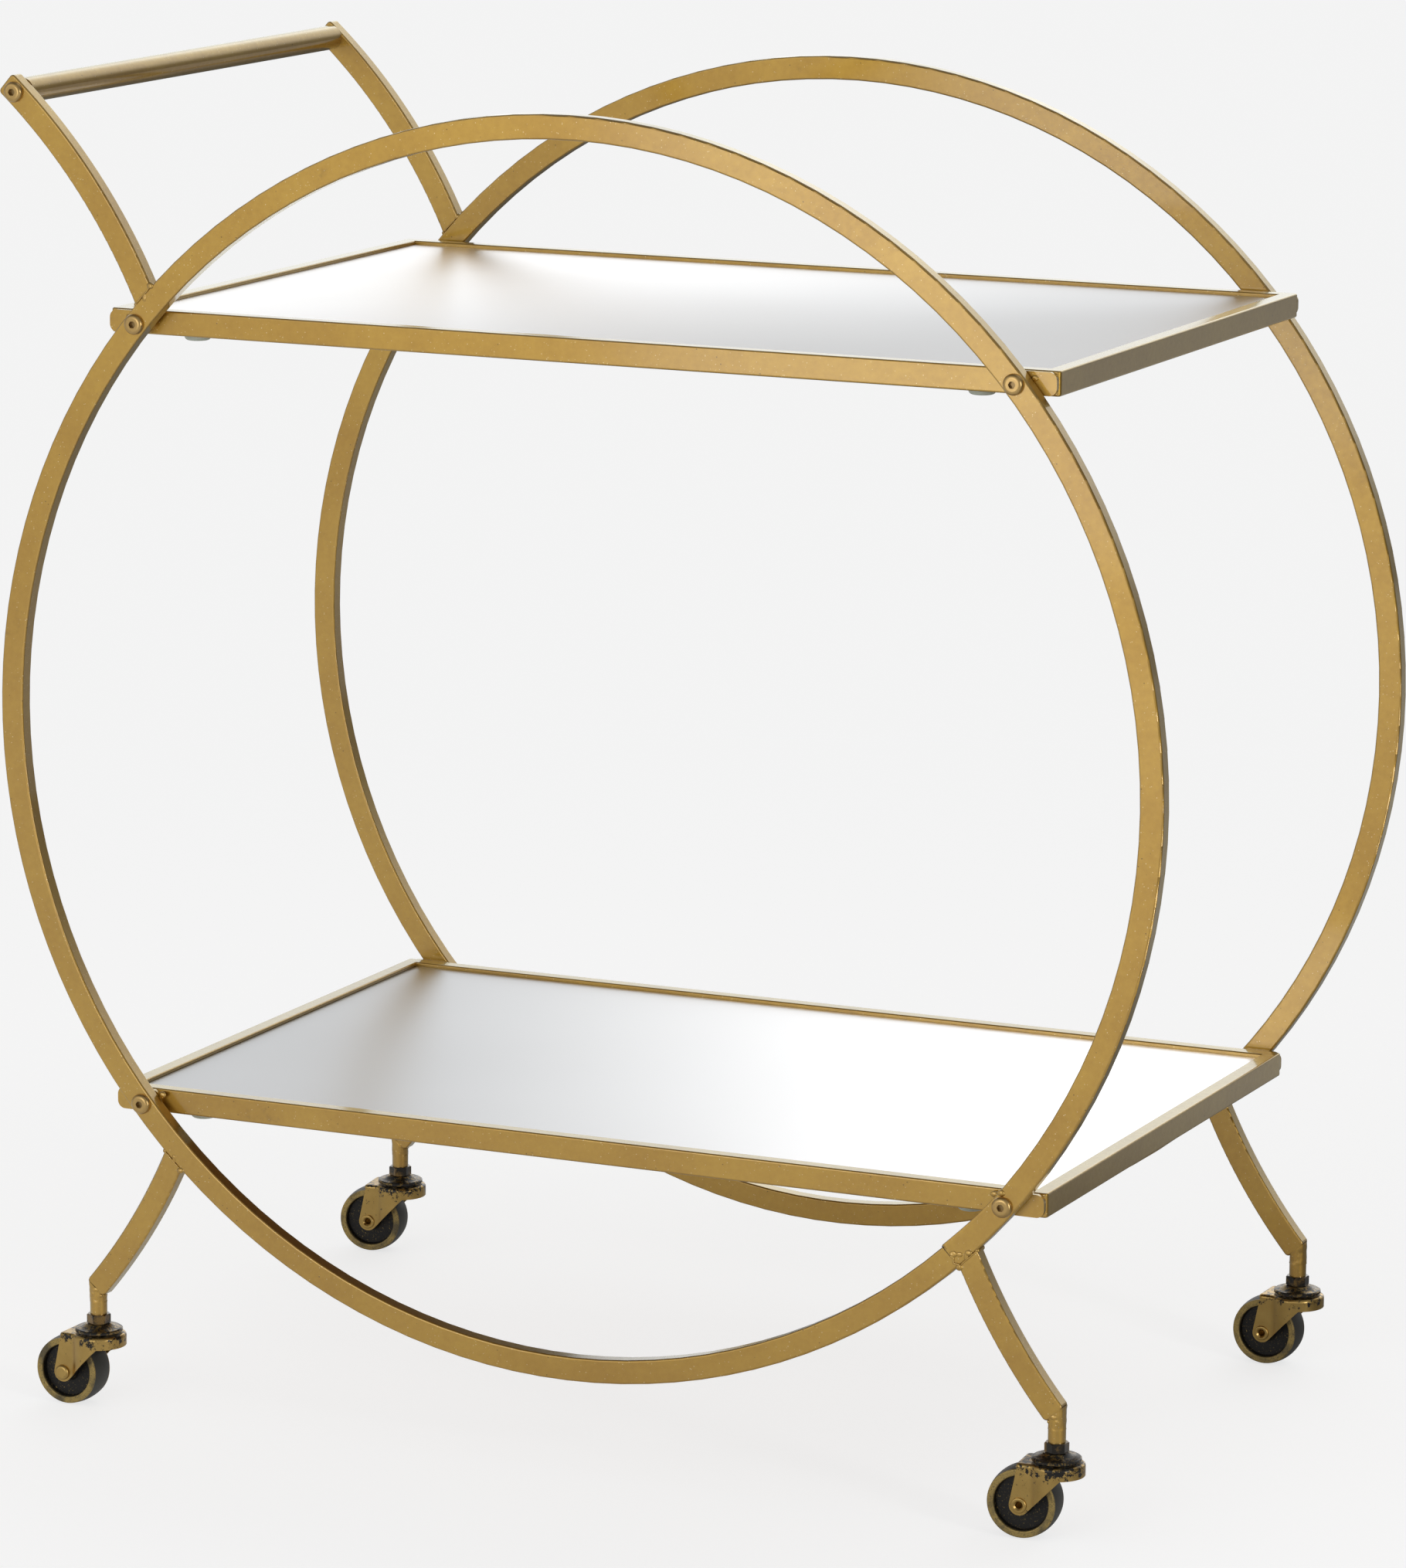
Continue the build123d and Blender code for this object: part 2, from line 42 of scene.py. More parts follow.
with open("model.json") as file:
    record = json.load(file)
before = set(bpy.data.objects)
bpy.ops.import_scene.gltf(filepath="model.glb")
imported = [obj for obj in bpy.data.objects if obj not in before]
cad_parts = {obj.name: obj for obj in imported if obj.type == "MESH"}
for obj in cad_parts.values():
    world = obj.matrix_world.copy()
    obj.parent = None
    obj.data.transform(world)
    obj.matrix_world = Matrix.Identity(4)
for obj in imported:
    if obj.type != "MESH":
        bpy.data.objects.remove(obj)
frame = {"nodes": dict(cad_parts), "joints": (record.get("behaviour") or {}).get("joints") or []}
nodes = frame["nodes"]
joints = {joint["name"]: joint for joint in frame["joints"]}
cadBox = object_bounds()
mm = 0.001
print("frame loaded,", len(nodes), "nodes")


camera = {
    "azimuth": math.radians(24.61),     # turned from straight in front towards the right
    "elevation": math.radians(11.23),
    "roll": math.radians(0.35),
    "distance": 4.424,
    "target": Vector((-0.0038, 0, 0.3903)),
    "lens": 161.8, "sensor": 36,        # millimetres, along the picture's long side
    "farEnd": 100,
}


def makeCamera():
    turn, rise = camera["azimuth"], camera["elevation"]
    back = Vector((math.sin(turn) * math.cos(rise), -math.cos(turn) * math.cos(rise), math.sin(rise)))
    level = Vector((math.cos(turn), math.sin(turn), 0))
    right = (level + math.tan(camera["roll"]) * back.cross(level)).normalized()
    data = bpy.data.cameras.new("camera")
    data.lens = camera["lens"]
    data.sensor_width = camera["sensor"]
    data.clip_end = camera["farEnd"]
    eye = bpy.data.objects.new("camera", data)
    bpy.context.scene.collection.objects.link(eye)
    turned = Matrix((right, back.cross(right), back)).transposed().to_4x4()
    eye.matrix_world = Matrix.Translation(camera["target"] + camera["distance"] * back) @ turned
    bpy.context.scene.camera = eye


makeCamera()
bpy.context.scene.view_settings.view_transform = "Standard"


def linear(hexText):
    # an sRGB hex colour as linear RGBA
    channels = [int(hexText[i:i + 2], 16) / 255 for i in (1, 3, 5)]
    return [c / 12.92 if c < 0.04045 else ((c + 0.055) / 1.055) ** 2.4 for c in channels] + [1]


def add(tree, kind, **settings):
    # adds a node: each setting is a property, or a socket by name (spaces as _) or number (as in in2)
    node = tree.nodes.new("ShaderNode" + kind)
    for name, value in settings.items():
        if hasattr(node, name):
            setattr(node, name, value)
            continue
        socket = node.inputs[int(name[2:])] if name[2:].isdigit() else node.inputs[name.replace("_", " ")]
        if isinstance(value, bpy.types.NodeSocket):
            tree.links.new(value, socket)
        else:
            socket.default_value = linear(value) if isinstance(value, str) else value
    return node


def newMaterial(name):
    material = bpy.data.materials.new(name)
    material.use_nodes = True
    tree = material.node_tree
    tree.nodes.clear()
    place = add(tree, "TexCoord").outputs["Object"]
    return material, tree, place


def close(tree, **settings):
    # ends a material with its one shader
    shader = add(tree, "BsdfPrincipled", **settings)
    add(tree, "OutputMaterial", Surface=shader.outputs[0])


def fine(size):
    # a texture's scale for a pattern whose grains are this many millimetres
    return 1 / (size * mm)


studio = {
    "floorSize": 40.0,
    "floorNear": "#F0F0EE",     # the floor as other things see it, with painted light: a painted pool of light in front, to the left and painted shade falling off behind, to the right
    "floorFar": "#787672",      # and falling off behind, to the right
    "nearWay": Vector((-0.6, -0.8, 0)), "nearStart": -0.9, "nearEnd": 0.5,
    "nearGlow": 0.20,           # painted light: the near floor glows, lifting what the lower front faces see
    "stripStart": Vector((0.3, 0.2, 0)),     # one strip of the far floor glows, painted light which the side faces catch
    "stripWay": Vector((0.416, 0.909, 0)),
    "stripWidth": 0.9, "stripGlow": 0.34, "stripFrom": 0.2, "stripFull": 0.8,
    "shownFloor": "#A8A8A8",    # the floor as the camera sees it
    "shownGlow": 0.72, "shownEnd": 1.0, "evenStart": 2.2,
    "backgroundLevel": 0.90,    # what the camera sees of the far floor and the wall
    "room": 0.40,
    "keyPower": 9, "keySize": 1.4, "keyPlace": Vector((-0.55, -3.0, 0.78)),
    "sidePower": 26, "sideWidth": 0.5, "sideHeight": 1.8, "sidePlace": Vector((3.2, -1.5, 0.9)),
    "aim": Vector((0, 0, 0.45)),
}


roomPanels = {    # which way each lies, the cosines at its soft edge and at its core, and its level
    "backdrop": (Vector((-0.42, 0.88, 0.16)), 0.82, 0.955, 1.25),    # mirrors and upper faces see it
    "frontWall": (Vector((-0.35, -0.92, 0.1)), 0.55, 0.95, 0.86),
    "ceiling": (Vector((-0.3, -0.1, 0.95)), 0.74, 0.96, 0.18),       # dark: upper edges draw a thin line
    "rightSide": (Vector((0.90, 0.45, 0.05)), 0.45, 0.90, 0.16),     # and so is the right-hand side
    "window": (Vector((0.10, 0.88, 0.45)), 0.86, 0.97, 1.20),        # round bars and domes catch it
}


def areaLight(name, place, power, width, height):
    data = bpy.data.lights.new(name, "AREA")
    data.shape = "RECTANGLE"
    data.size = width
    data.size_y = height
    data.energy = power
    lamp = bpy.data.objects.new(name, data)
    turned = (place - studio["aim"]).to_track_quat("Z", "Y").to_matrix().to_4x4()
    lamp.matrix_world = Matrix.Translation(place) @ turned
    bpy.context.scene.collection.objects.link(lamp)


def makeWorld():
    world = bpy.data.worlds.new("studio")
    world.use_nodes = True
    bpy.context.scene.world = world
    tree = world.node_tree
    tree.nodes.clear()
    way = add(tree, "TexCoord").outputs["Generated"]
    level = studio["room"]
    for aim, edge, core, panelLevel in roomPanels.values():
        along = add(tree, "VectorMath", operation="DOT_PRODUCT", in0=way, in1=aim.normalized())
        spread = add(tree, "MapRange", interpolation_type="SMOOTHSTEP", Value=along.outputs["Value"],
                     From_Min=edge, From_Max=core, To_Max=panelLevel - studio["room"])
        level = add(tree, "Math", operation="ADD", in0=level, in1=spread.outputs[0]).outputs[0]
    seen = add(tree, "LightPath").outputs["Is Camera Ray"]
    room = add(tree, "Background", Color="#FFFFFF", Strength=level)
    white = add(tree, "Background", Color="#FFFFFF", Strength=studio["backgroundLevel"])
    both = add(tree, "MixShader", in0=seen, in1=room.outputs[0], in2=white.outputs[0])
    add(tree, "OutputWorld", Surface=both.outputs[0])


def makeFloor():
    material, tree, place = newMaterial("pale_studio_floor")
    seen = add(tree, "LightPath").outputs["Is Camera Ray"]
    # painted light: the floor's colour, as other things see it, holds a painted pool of light in front and
    # painted shade behind
    spot = add(tree, "VectorMath", operation="DOT_PRODUCT", in0=place, in1=studio["nearWay"])
    near = add(tree, "MapRange", interpolation_type="SMOOTHSTEP", Value=spot.outputs["Value"],
               From_Min=studio["nearStart"], From_Max=studio["nearEnd"])
    tone = add(tree, "Mix", data_type="RGBA", in0=near.outputs[0], in6=studio["floorFar"],
               in7=studio["floorNear"])
    onward = studio["stripWay"]
    local = add(tree, "VectorMath", operation="SUBTRACT", in0=place, in1=studio["stripStart"]).outputs[0]
    off = add(tree, "VectorMath", operation="DOT_PRODUCT", in0=local, in1=Vector((onward.y, -onward.x, 0)))
    off = add(tree, "Math", operation="ABSOLUTE", in0=off.outputs["Value"])
    beside = add(tree, "MapRange", interpolation_type="SMOOTHSTEP", Value=off.outputs[0],
                 From_Min=0.6 * studio["stripWidth"], From_Max=1.4 * studio["stripWidth"],
                 To_Min=1.0, To_Max=0.0)
    ahead = add(tree, "VectorMath", operation="DOT_PRODUCT", in0=local, in1=onward)
    beyond = add(tree, "MapRange", interpolation_type="SMOOTHSTEP", Value=ahead.outputs["Value"],
                 From_Min=studio["stripFrom"], From_Max=studio["stripFull"], To_Max=studio["stripGlow"])
    strip = add(tree, "Math", operation="MULTIPLY", in0=beside.outputs[0], in1=beyond.outputs[0])
    strip = add(tree, "Math", operation="MULTIPLY_ADD", in0=near.outputs[0], in1=studio["nearGlow"],
                in2=strip.outputs[0])
    painted = add(tree, "BsdfDiffuse", Color=tone.outputs[2])
    # painted light: the floor glows near the front and along one far strip, though it is no lamp
    shine = add(tree, "Emission", Color="#FFFFFF", Strength=strip.outputs[0])
    pale = add(tree, "AddShader", in0=painted.outputs[0], in1=shine.outputs[0])
    lit = add(tree, "BsdfDiffuse", Color=studio["shownFloor"])
    glow = add(tree, "Emission", Color="#FFFFFF", Strength=studio["shownGlow"])
    shown = add(tree, "AddShader", in0=lit.outputs[0], in1=glow.outputs[0])
    away = add(tree, "VectorMath", operation="LENGTH", in0=place)
    far = add(tree, "MapRange", interpolation_type="SMOOTHSTEP", Value=away.outputs["Value"],
              From_Min=studio["shownEnd"], From_Max=studio["evenStart"])
    even = add(tree, "Emission", Color="#FFFFFF", Strength=studio["backgroundLevel"])
    plain = add(tree, "MixShader", in0=far.outputs[0], in1=shown.outputs[0], in2=even.outputs[0])
    both = add(tree, "MixShader", in0=seen, in1=pale.outputs[0], in2=plain.outputs[0])
    add(tree, "OutputMaterial", Surface=both.outputs[0])
    mesh = bmesh.new()
    bmesh.ops.create_grid(mesh, x_segments=1, y_segments=1, size=studio["floorSize"] / 2)
    bmesh.ops.translate(mesh, verts=mesh.verts, vec=(0, 0, cadBox[0].z - 0.2 * mm))
    floor = bpy.data.objects.new("floor", bpy.data.meshes.new("floor"))
    mesh.to_mesh(floor.data)
    mesh.free()
    floor.data.materials.append(material)
    bpy.context.scene.collection.objects.link(floor)


makeWorld()
makeFloor()
areaLight("key", studio["keyPlace"], studio["keyPower"], studio["keySize"], studio["keySize"])
areaLight("side", studio["sidePlace"], studio["sidePower"], studio["sideWidth"], studio["sideHeight"])
print("studio ready")


goldPaint = {
    "light": "#BF983F", "deep": "#AF8735", "fleck": "#EBD9A4", "scuff": "#8A6A34", "soot": "#4A3A22",
    "slant": "#DDF9FF",
    "cloudSize": 60, "mottleSize": 4.0, "fleckSize": 0.85, "peelSize": 2.2, "nibSize": 9.0,
    "scuffSize": 30, "pinSize": 8.0, "roughness": 0.40,
    "fleckRarity": 0.965, "scuffRarity": 0.64,    # the nearer to 1, the fewer
    "skinDepth": 0.06, "skinGloss": 0.10, "skinIor": 1.65,
}


def paintedGold(name, paint):
    # antique gold metallic paint, sprayed on steel tube: a soft satin gold of one tone, a few bright flakes,
    # rare dull scuffs and dark pinholes, and a clear skin that greys the faces seen at a slant
    material, tree, place = newMaterial(name)
    cloud = add(tree, "TexNoise", Vector=place, Scale=fine(paint["cloudSize"]), Detail=3.0, Roughness=0.6)
    mottle = add(tree, "TexNoise", Vector=place, Scale=fine(paint["mottleSize"]), Detail=3.0, Roughness=0.65)
    tone = add(tree, "Math", operation="MULTIPLY_ADD", in0=mottle.outputs[0], in1=0.6, in2=cloud.outputs[0])
    depth = add(tree, "MapRange", Value=tone.outputs[0], From_Min=0.55, From_Max=1.05)
    body = add(tree, "Mix", data_type="RGBA", in0=depth.outputs[0], in6=paint["light"], in7=paint["deep"])
    flakes = add(tree, "TexVoronoi", Vector=place, Scale=fine(paint["fleckSize"]))
    flakeTone = add(tree, "SeparateColor", Color=flakes.outputs["Color"])
    chosen = add(tree, "MapRange", Value=flakeTone.outputs[0], From_Min=paint["fleckRarity"],
                 From_Max=paint["fleckRarity"] + 0.025, To_Max=0.7)
    dot = add(tree, "MapRange", Value=flakes.outputs["Distance"], From_Min=0.28, From_Max=0.46,
              To_Min=1.0, To_Max=0.0)
    flake = add(tree, "Math", operation="MULTIPLY", in0=chosen.outputs[0], in1=dot.outputs[0])
    flecked = add(tree, "Mix", data_type="RGBA", in0=flake.outputs[0], in6=body.outputs[2],
                  in7=paint["fleck"])
    scuffs = add(tree, "TexNoise", Vector=place, Scale=fine(paint["scuffSize"]), Detail=7.0, Roughness=0.72)
    scuffed = add(tree, "MapRange", Value=scuffs.outputs[0], From_Min=paint["scuffRarity"],
                  From_Max=paint["scuffRarity"] + 0.1, To_Max=0.5)
    worn = add(tree, "Mix", data_type="RGBA", in0=scuffed.outputs[0], in6=flecked.outputs[2],
               in7=paint["scuff"])
    pins = add(tree, "TexVoronoi", Vector=place, Scale=fine(paint["pinSize"]))
    pin = add(tree, "MapRange", Value=pins.outputs["Distance"], From_Min=0.03, From_Max=0.065,
              To_Min=0.75, To_Max=0.0)
    colour = add(tree, "Mix", data_type="RGBA", in0=pin.outputs[0], in6=worn.outputs[2], in7=paint["soot"])
    rough = add(tree, "Math", operation="MULTIPLY_ADD", in0=mottle.outputs[0], in1=0.10,
                in2=paint["roughness"] - 0.05)
    peel = add(tree, "TexNoise", Vector=place, Scale=fine(paint["peelSize"]), Detail=1.5)
    nibs = add(tree, "TexVoronoi", Vector=place, Scale=fine(paint["nibSize"]))
    nib = add(tree, "MapRange", interpolation_type="SMOOTHSTEP", Value=nibs.outputs["Distance"],
              From_Min=0.02, From_Max=0.07, To_Min=1.0, To_Max=0.0)
    height = add(tree, "Math", operation="ADD", in0=nib.outputs[0], in1=peel.outputs[0])
    bump = add(tree, "Bump", Height=height.outputs[0], Strength=0.25, Distance=paint["skinDepth"] * mm)
    close(tree, Base_Color=colour.outputs[2], Metallic=1.0, Roughness=rough.outputs[0],
          Normal=bump.outputs[0], Specular_Tint=paint["slant"],
          Coat_Weight=1.0, Coat_Roughness=paint["skinGloss"], Coat_IOR=paint["skinIor"])
    return material


platedBolt = {
    "light": "#C4A264", "deep": "#AF8F55", "socket": "#4E3A20",
    "headRadius": 6.4, "socketRadius": 2.35, "wearSize": 5, "roughness": 0.30,
}


def platedSteel(name, plate, low, high):
    # brass-plated button heads, tumbled smooth and shinier than the paint round them; the six-sided socket gets
    # painted shade, so it reads as a dark hole. It is placed by the distance from the head's axis
    material, tree, place = newMaterial(name)
    centre = (low + high) / 2
    apart = (high.x - low.x) / 2 - plate["headRadius"] * mm
    local = add(tree, "SeparateXYZ", Vector=place)
    sideways = add(tree, "Math", operation="SUBTRACT", in0=local.outputs["X"], in1=centre.x)
    sideways = add(tree, "Math", operation="ABSOLUTE", in0=sideways.outputs[0])
    sideways = add(tree, "Math", operation="SUBTRACT", in0=sideways.outputs[0], in1=apart)
    upright = add(tree, "Math", operation="SUBTRACT", in0=local.outputs["Z"], in1=centre.z)
    spoke = add(tree, "CombineXYZ", X=sideways.outputs[0], Y=0.0, Z=upright.outputs[0])
    reach = add(tree, "VectorMath", operation="LENGTH", in0=spoke.outputs[0])
    edge = plate["socketRadius"] * mm
    socketPaintedShade = add(tree, "MapRange", Value=reach.outputs["Value"], From_Min=edge - 0.35 * mm,
                 From_Max=edge + 0.05 * mm, To_Min=0.6, To_Max=0.0)
    worn = add(tree, "TexNoise", Vector=place, Scale=fine(plate["wearSize"]), Detail=3.0)
    plated = add(tree, "Mix", data_type="RGBA", in0=worn.outputs[0], in6=plate["light"], in7=plate["deep"])
    # painted shade inside the socket
    colour = add(tree, "Mix", data_type="RGBA", in0=socketPaintedShade.outputs[0], in6=plated.outputs[2],
                 in7=plate["socket"])
    rough = add(tree, "MapRange", Value=worn.outputs[0], To_Min=plate["roughness"] - 0.05,
                To_Max=plate["roughness"] + 0.05)
    close(tree, Base_Color=colour.outputs[2], Metallic=1.0, Roughness=rough.outputs[0],
          Coat_Weight=0.6, Coat_Roughness=0.15)
    return material


# dull is the painted grey end of each mirror's painted reflection, clear its painted bright end
silvering = {"clear": "#FFFFFF", "dull": "#B2B4B6", "slant": 0.5, "hazeSize": 160, "roughness": 0.34}


def silveredGlass(name, glass, low, high, brightSide):
    # glass silvered on its back, with the soft look of a protected mirror: one pale sheet carrying a painted
    # reflection, its tone running evenly from a painted bright end of the shelf to a painted grey end
    material, tree, place = newMaterial(name)
    middle, half = (low.x + high.x) / 2, (high.x - low.x) / 2
    local = add(tree, "SeparateXYZ", Vector=place)
    slant = add(tree, "Math", operation="MULTIPLY_ADD", in0=local.outputs["Y"],
                in1=glass["slant"] * brightSide, in2=local.outputs["X"])
    along = add(tree, "MapRange", interpolation_type="SMOOTHSTEP", Value=slant.outputs[0],
                From_Min=middle - brightSide * half, From_Max=middle + brightSide * half)
    haze = add(tree, "TexNoise", Vector=place, Scale=fine(glass["hazeSize"]), Detail=2.0)
    tone = add(tree, "Math", operation="MULTIPLY_ADD", in0=haze.outputs[0], in1=0.06, in2=along.outputs[0])
    # painted reflection: the colour runs from painted grey to painted white along the shelf
    colour = add(tree, "Mix", data_type="RGBA", in0=tone.outputs[0], in6=glass["dull"], in7=glass["clear"])
    rough = add(tree, "MapRange", Value=haze.outputs[0], To_Min=glass["roughness"] - 0.03,
                To_Max=glass["roughness"] + 0.03)
    close(tree, Base_Color=colour.outputs[2], Metallic=1.0, Roughness=rough.outputs[0])
    return material


hardboard = {"light": "#8A643C", "deep": "#6A4A2C", "fibre": 0.8}


def pressedBoard(name, board):
    # hardboard, pressed brown fibre: dull, with short darker fibres
    material, tree, place = newMaterial(name)
    fibre = add(tree, "TexNoise", Vector=place, Scale=fine(board["fibre"]), Detail=5.0, Roughness=0.7)
    colour = add(tree, "Mix", data_type="RGBA", in0=fibre.outputs[0], in6=board["light"], in7=board["deep"])
    bump = add(tree, "Bump", Height=fibre.outputs[0], Strength=0.4, Distance=0.1 * mm)
    close(tree, Base_Color=colour.outputs[2], Roughness=0.75, Normal=bump.outputs[0])
    return material


clampDiscs = {"tint": "#D5DBCB", "swirlSize": 6, "roughness": 0.35, "clearness": 0.45}


def clearPlastic(name, plastic):
    # moulded clear plastic discs, slightly green where they are thick
    material, tree, place = newMaterial(name)
    swirl = add(tree, "TexNoise", Vector=place, Scale=fine(plastic["swirlSize"]), Detail=2.0)
    rough = add(tree, "MapRange", Value=swirl.outputs[0], To_Min=plastic["roughness"] - 0.08,
                To_Max=plastic["roughness"] + 0.08)
    close(tree, Base_Color=plastic["tint"], Roughness=rough.outputs[0], IOR=1.49,
          Transmission_Weight=plastic["clearness"])
    return material


antiqueBrass = {
    "brass": "#BFA05E", "deep": "#A3854A", "black": "#15120E",
    "toneSize": 9, "chipSize": 4.2, "grainSize": 0.8, "roughness": 0.32,
    "edgeChips": 0.115, "edgeRun": 9.0,
    "chips": {    # the higher, the fewer chips
        "front_left": 0.63, "front_right": 0.60, "back_left": 0.62, "back_right": 0.64,
    },
}


darkBrass = {**antiqueBrass, "brass": "#9C8450", "deep": "#6E5A36", "edgeChips": 0.17, "chipSize": 3.0}


def agedBrass(name, brass, corner, shoulder):
    # brass-plated sheet steel, blackened and rubbed back: black chips and pits in clusters, thickest
    # along the head's shoulder at this height, where the blacking was never rubbed off
    material, tree, place = newMaterial(name)
    tone = add(tree, "TexNoise", Vector=place, Scale=fine(brass["toneSize"]), Detail=4.0)
    body = add(tree, "Mix", data_type="RGBA", in0=tone.outputs[0], in6=brass["brass"], in7=brass["deep"])
    local = add(tree, "SeparateXYZ", Vector=place)
    rise = add(tree, "Math", operation="SUBTRACT", in0=local.outputs["Z"], in1=shoulder)
    rise = add(tree, "Math", operation="ABSOLUTE", in0=rise.outputs[0])
    near = add(tree, "MapRange", interpolation_type="SMOOTHSTEP", Value=rise.outputs[0], From_Min=0.8 * mm,
               From_Max=brass["edgeRun"] * mm, To_Min=brass["edgeChips"], To_Max=0.0)
    chips = add(tree, "TexNoise", Vector=place, Scale=fine(brass["chipSize"]), Detail=8.0, Roughness=0.75)
    reach = add(tree, "Math", operation="ADD", in0=chips.outputs[0], in1=near.outputs[0])
    start = brass["chips"][corner]
    chipped = add(tree, "MapRange", Value=reach.outputs[0], From_Min=start, From_Max=start + 0.02)
    colour = add(tree, "Mix", data_type="RGBA", in0=chipped.outputs[0], in6=body.outputs[2],
                 in7=brass["black"])
    grain = add(tree, "TexNoise", Vector=place, Scale=fine(brass["grainSize"]), Detail=3.0)
    rough = add(tree, "Math", operation="MULTIPLY_ADD", in0=grain.outputs[0], in1=0.2,
                in2=brass["roughness"] - 0.1)
    shine = add(tree, "Math", operation="SUBTRACT", in0=1.0, in1=chipped.outputs[0])
    level = add(tree, "Math", operation="MULTIPLY_ADD", in0=grain.outputs[0], in1=0.4, in2=shine.outputs[0])
    bump = add(tree, "Bump", Height=level.outputs[0], Strength=0.3, Distance=0.06 * mm)
    close(tree, Base_Color=colour.outputs[2], Metallic=shine.outputs[0], Roughness=rough.outputs[0],
          Normal=bump.outputs[0], Specular_IOR_Level=0.25, Coat_Weight=0.25, Coat_Roughness=0.2)
    return material


blackened = {"black": "#26221C", "rubbed": "#8A6C38", "rubSize": 7.0, "roughness": 0.22}


def blackenedSteel(name, steel):
    # oil-blackened turned steel with its brass colour rubbed through in places
    material, tree, place = newMaterial(name)
    rub = add(tree, "TexNoise", Vector=place, Scale=fine(steel["rubSize"]), Detail=5.0, Roughness=0.65)
    rubbed = add(tree, "MapRange", Value=rub.outputs[0], From_Min=0.48, From_Max=0.62, To_Max=0.85)
    colour = add(tree, "Mix", data_type="RGBA", in0=rubbed.outputs[0], in6=steel["black"],
                 in7=steel["rubbed"])
    rough = add(tree, "Math", operation="MULTIPLY_ADD", in0=rub.outputs[0], in1=0.2,
                in2=steel["roughness"] - 0.08)
    close(tree, Base_Color=colour.outputs[2], Metallic=1.0, Roughness=rough.outputs[0],
          Coat_Weight=0.6, Coat_Roughness=0.08)
    return material


polished = {"light": "#C9C8C2", "deep": "#8F8D86", "oilSize": 3, "smooth": 0.12, "dull": 0.25}


def brightSteel(name, steel):
    # ground and polished bearing balls and zinc-plated inserts: bright, a little oily
    material, tree, place = newMaterial(name)
    oil = add(tree, "TexNoise", Vector=place, Scale=fine(steel["oilSize"]), Detail=2.0)
    colour = add(tree, "Mix", data_type="RGBA", in0=oil.outputs[0], in6=steel["light"], in7=steel["deep"])
    rough = add(tree, "MapRange", Value=oil.outputs[0], To_Min=steel["smooth"], To_Max=steel["dull"])
    close(tree, Base_Color=colour.outputs[2], Metallic=1.0, Roughness=rough.outputs[0])
    return material


casterWheel = {
    "tread": "#33332F", "black": "#100E0C", "brass": "#A89159",
    "halfWidth": 9.5, "rimRing": 3.8, "patchSize": 14, "speckSize": 0.8, "dustSize": 1.3, "roughness": 0.5,
}


